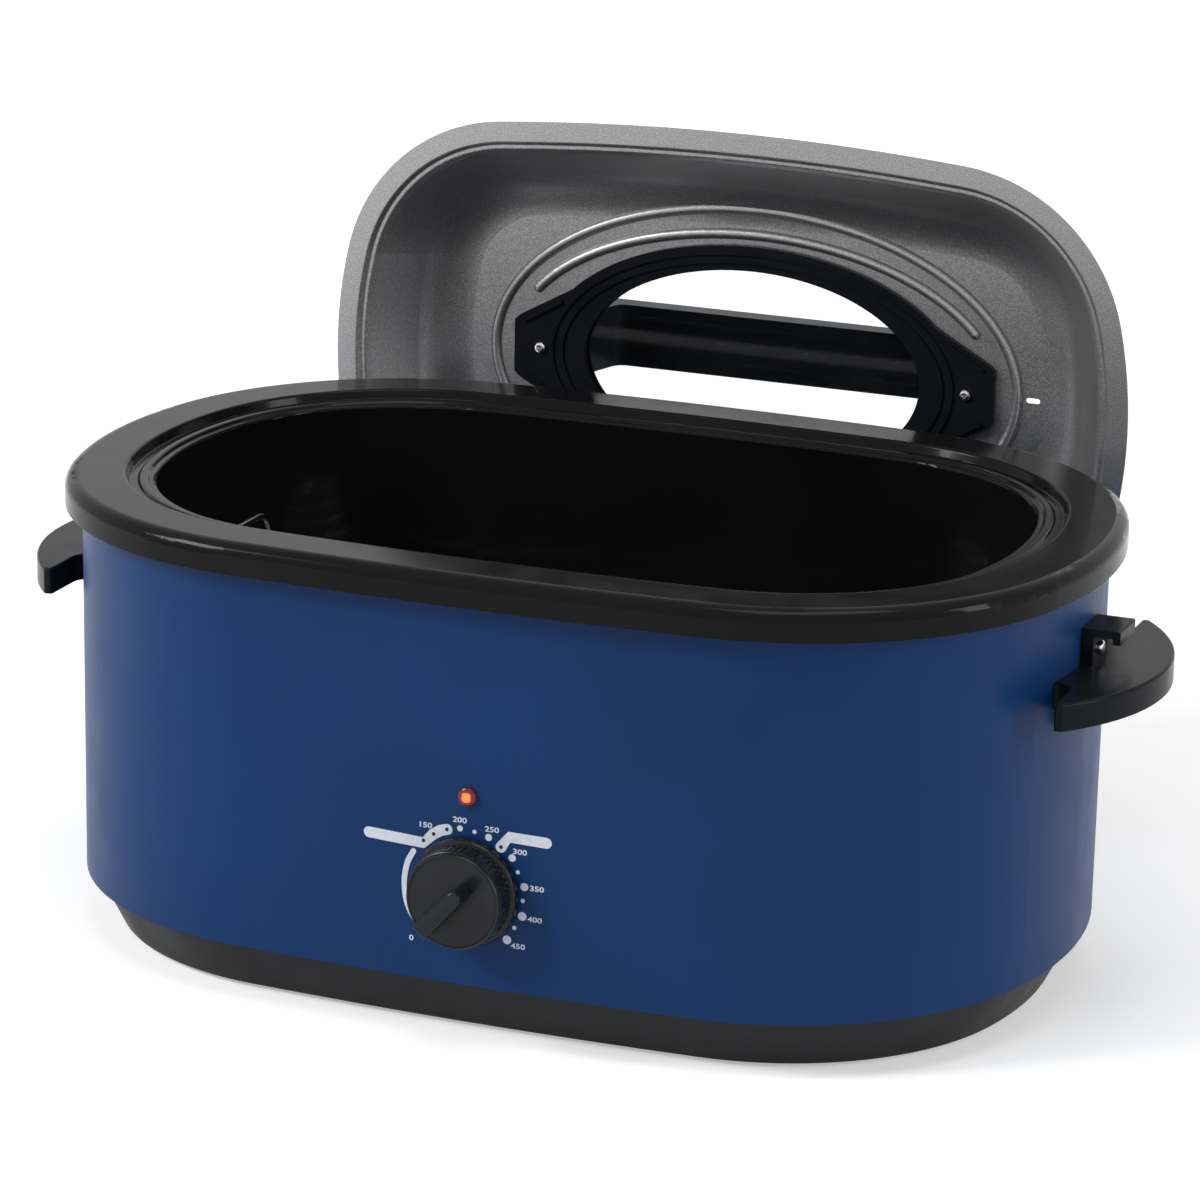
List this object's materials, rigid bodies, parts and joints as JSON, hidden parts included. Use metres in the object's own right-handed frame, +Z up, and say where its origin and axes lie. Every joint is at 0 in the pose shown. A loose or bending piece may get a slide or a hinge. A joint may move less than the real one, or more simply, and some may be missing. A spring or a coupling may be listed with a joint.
{
  "type": "electric roaster oven",
  "caption": "Countertop electric roaster oven with a lift-out pan and wire rack, a dial thermostat, side handles and a loose domed lid with a window, parked upright behind it.",
  "frame": {"origin": "on the table under the middle of the body", "axes": "+X along the body towards its right handle, -Y the side with the dial, +Z up"},
  "size_m": [0.622, 0.5017, 0.3969],
  "materials": {
    "blue_paint": "satin deep blue paint",
    "black_plastic": "fine grained black",
    "zinc_steel": "zinc plated",
    "foot_rubber": "matt black",
    "bright_screw": "bright plated",
    "well_steel": "aluminised",
    "band_metal": "heat tinted",
    "glass_fibre": "soft white felt",
    "phenolic": "dark brown moulding",
    "brass_nut": "turned",
    "red_lens": "clear red",
    "handle_plastic": "polished black",
    "white_ceramic": "glazed",
    "black_steel": "black powder coat",
    "black_enamel": "gloss black enamel",
    "rack_chrome": "chrome plated wire",
    "knob_plastic": "polished black",
    "grey_coating": "satin speckled grey coating",
    "clear_glass": "clear tempered",
    "silicone": "matt black"
  },
  "bodies": {
    "base": {"outer_shell": "blue_paint", "base_skirt": "black_plastic", "bottom_plate": "zinc_steel", "rubber_feet": "foot_rubber", "well_posts": "zinc_steel", "base_screws": "bright_screw", "heating_well": "well_steel", "heating_band": "band_metal", "insulation_blanket": "glass_fibre", "thermostat_bracket": "zinc_steel", "thermostat_body": "phenolic", "bush_nut": "brass_nut", "indicator_lens": "red_lens", "indicator_clip": "zinc_steel", "indicator_lamp": "phenolic", "handle_right": "handle_plastic", "handle_left": "handle_plastic", "handle_screws": "bright_screw", "handle_nuts": "bright_screw", "cord_bush": "handle_plastic", "terminal_block": "white_ceramic", "lid_rest": "black_steel", "rest_screws": "bright_screw"},
    "pan": {"roasting_pan": "black_enamel"},
    "rack": {"wire_rack": "rack_chrome"},
    "knob": {"knob": "knob_plastic", "thermostat_shaft": "zinc_steel"},
    "lid": {"lid_shell": "grey_coating", "window_glass": "clear_glass", "window_gasket": "silicone", "window_bezel": "handle_plastic", "lid_handle": "handle_plastic", "lid_screws": "bright_screw"}
  },
  "joints": [
    {"name": "knob_turn", "type": "hinge", "parent": "base", "child": "knob", "pos_m": [0.0065, -0.179, 0.0805], "axis": [0, 1, 0], "range_deg": [0, 274]},
    {"name": "pan_lift", "type": "slide", "parent": "base", "child": "pan", "axis": [0, 0, 1], "range_m": [0, 0.18]},
    {"name": "rack_lift", "type": "slide", "parent": "pan", "child": "rack", "axis": [0, 0, 1], "range_m": [0, 0.18]},
    {"name": "lid_lift", "type": "slide", "parent": "base", "child": "lid", "axis": [0, 0, 1], "range_m": [0, 0.2]}
  ]
}
